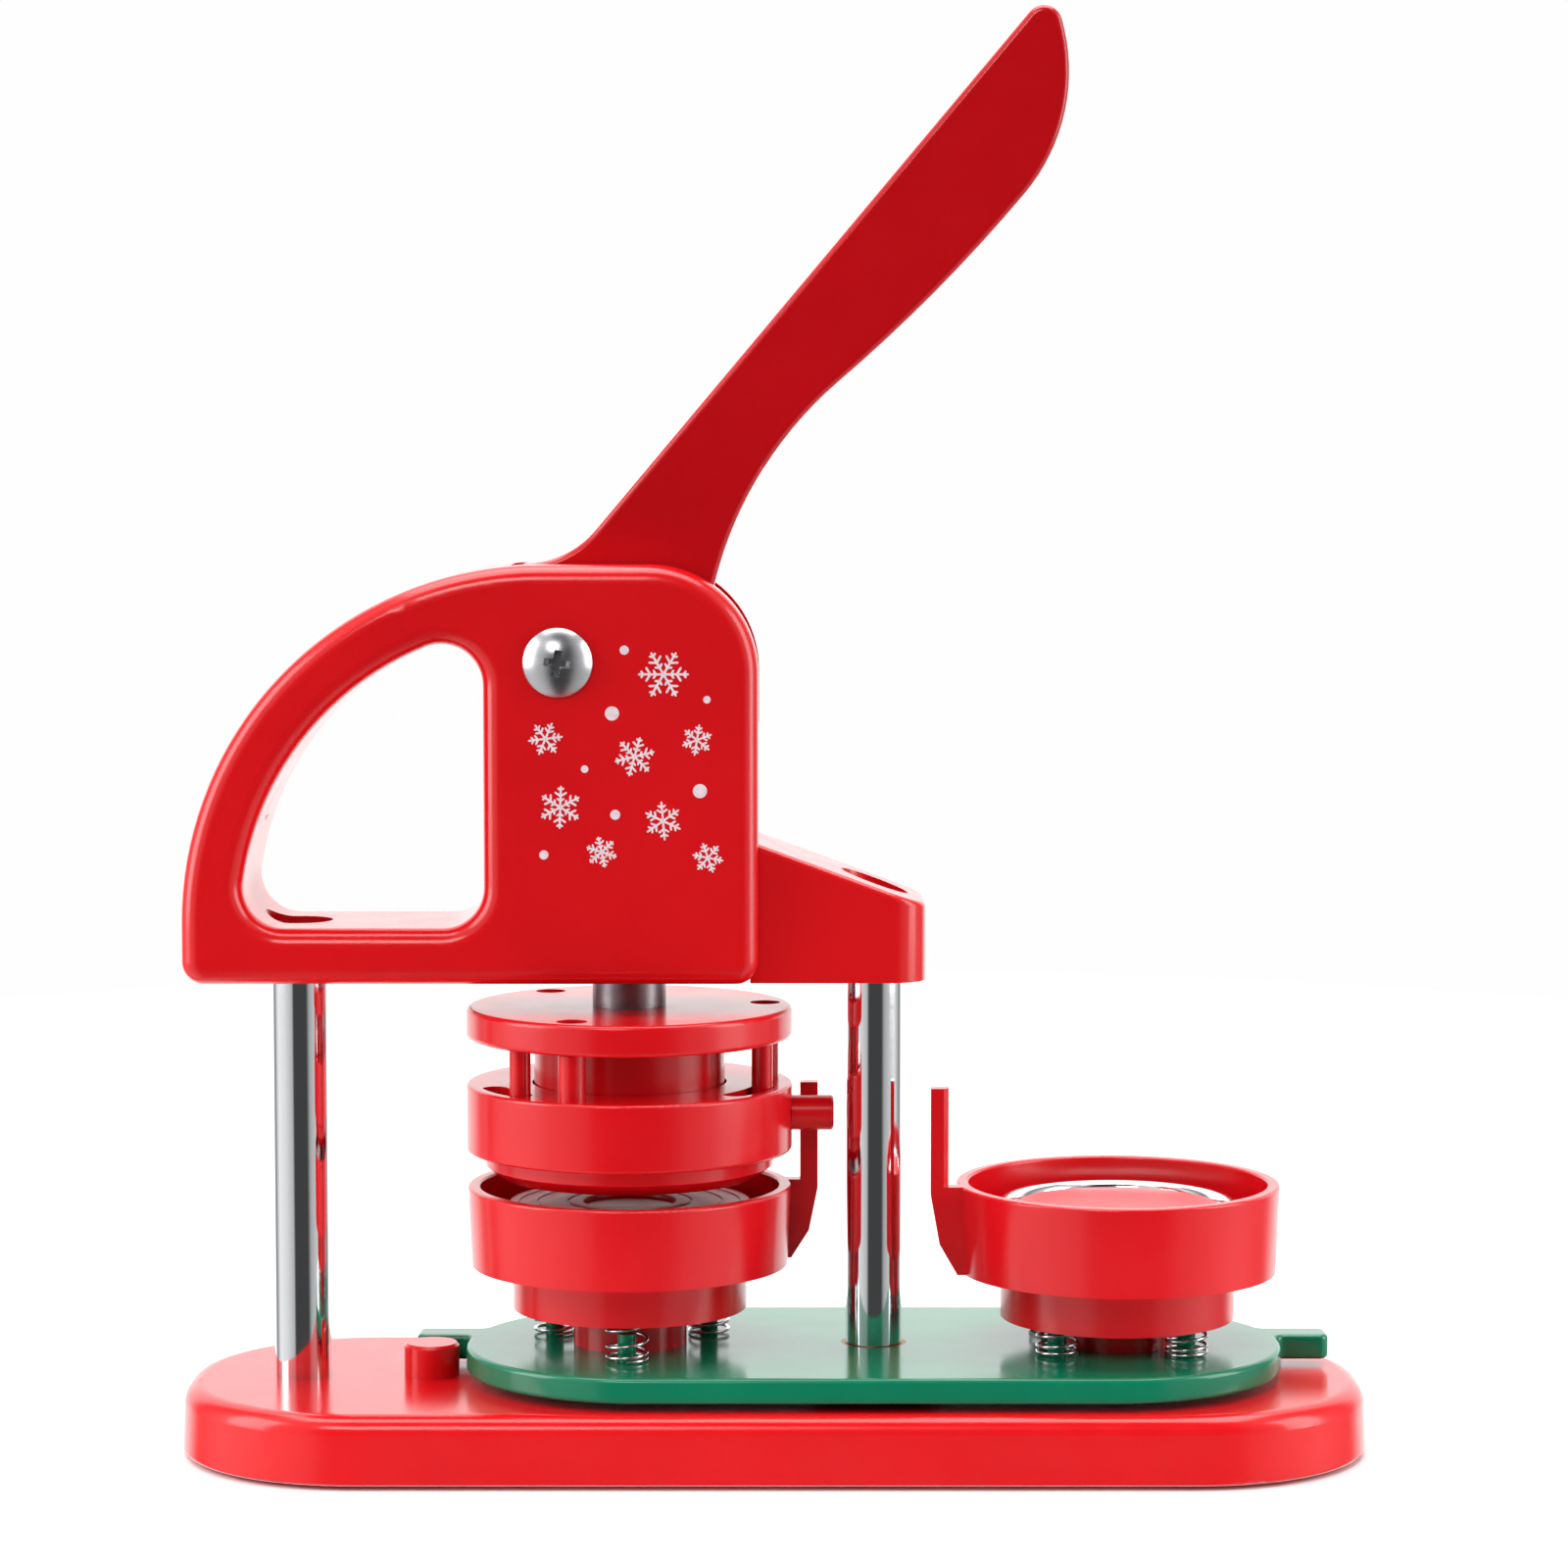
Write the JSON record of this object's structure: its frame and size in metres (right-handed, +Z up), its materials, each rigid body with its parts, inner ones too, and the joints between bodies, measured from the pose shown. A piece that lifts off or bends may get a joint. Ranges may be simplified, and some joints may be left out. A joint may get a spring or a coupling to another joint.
{
  "type": "button badge maker",
  "caption": "Hand-lever press for pin-back badges: a D-shaped housing on two rods over a turntable with a pick-up cup and a crimping cup.",
  "frame": {"origin": "middle of the base, on the surface the rubber feet stand on", "axes": "+Z up, +X from the housing's grip towards the free cup, +Y to the back; the ram's axis and the turntable's pivot lie in the plane Y = 0"},
  "size_m": [0.2918, 0.0978, 0.353],
  "materials": {
    "red_plastic": "moulded gloss",
    "green_plastic": "moulded gloss",
    "chrome_rod": "polished",
    "polished_ring": "polished",
    "rubber": "matt",
    "zinc_screws": "zinc plated",
    "bolt_head": "nickel plated",
    "nylon": "moulded",
    "bronze": "turned",
    "steel": "ground",
    "spring_steel": "drawn wire"
  },
  "bodies": {
    "frame": {"base": "red_plastic", "rubber_feet": "rubber", "stop_peg": "red_plastic", "left_rod": "chrome_rod", "right_rod": "chrome_rod", "base_bolts": "zinc_screws", "base_washers": "zinc_screws", "thrust_washer": "nylon", "housing_front": "red_plastic", "housing_back": "red_plastic", "housing_screws": "zinc_screws", "top_bolts": "zinc_screws", "top_washers": "zinc_screws", "ram_bush": "bronze", "pivot_bolt": "bolt_head", "pivot_nut": "zinc_screws", "pivot_washer": "zinc_screws", "pivot_sleeve": "bronze", "spacer_washers": "nylon", "return_spring": "spring_steel"},
    "lever": {"handle": "red_plastic", "lever_cam": "steel", "cam_pins": "steel"},
    "ram": {"ram_shaft": "chrome_rod", "spring_collar": "nylon", "retaining_ring": "steel", "press_plate": "red_plastic", "punch": "red_plastic", "ram_bolt": "zinc_screws"},
    "upper_ring": {"upper_ring": "red_plastic", "ring_peg": "red_plastic"},
    "turntable": {"turntable": "green_plastic", "turntable_bush": "bronze", "pickup_column": "red_plastic", "pickup_pedestal": "red_plastic", "crimp_column": "red_plastic", "crimp_pedestal": "red_plastic", "crimp_ring": "polished_ring", "column_screws": "zinc_screws", "pickup_springs": "spring_steel", "crimp_springs": "spring_steel"},
    "pickup_cup": {"pickup_cup": "red_plastic"},
    "crimp_cup": {"crimp_cup": "red_plastic"}
  },
  "joints": [
    {"name": "lever_pivot", "type": "hinge", "parent": "frame", "child": "lever", "pos_m": [-0.0519, 0, 0.1956], "axis": [0, 1, 0], "range_deg": [0, 50], "stiffness_Nm_per_rad": 0.25, "springref_deg": -34.38},
    {"name": "ram_slide", "type": "slide", "parent": "frame", "child": "ram", "axis": [0, 0, -1], "range_m": [0, 0.008], "deforming": ["return_spring"]},
    {"name": "ring_twist", "type": "hinge", "parent": "ram", "child": "upper_ring", "pos_m": [-0.03575, 0, 0.083], "axis": [0, 0, 1], "range_deg": [0, 22]},
    {"name": "table_turn", "type": "hinge", "parent": "frame", "child": "turntable", "pos_m": [0.0246, 0, 0.022], "axis": [0, 0, -1], "range_deg": [0, 180]},
    {"name": "pickup_cup_slide", "type": "slide", "parent": "turntable", "child": "pickup_cup", "axis": [0, 0, -1], "range_m": [0, 0.007], "stiffness_N_per_m": 1200, "springref_m": -0.004, "deforming": ["pickup_springs"]},
    {"name": "crimp_cup_slide", "type": "slide", "parent": "turntable", "child": "crimp_cup", "axis": [0, 0, -1], "range_m": [0, 0.006], "stiffness_N_per_m": 1200, "springref_m": -0.004, "deforming": ["crimp_springs"]}
  ],
  "couplings": [
    {"joint": "ram_slide", "follows": "lever_pivot", "m_per_rad": 0.009167},
    {"joint": "ring_twist", "follows": "table_turn", "ratio": 0.1222}
  ]
}
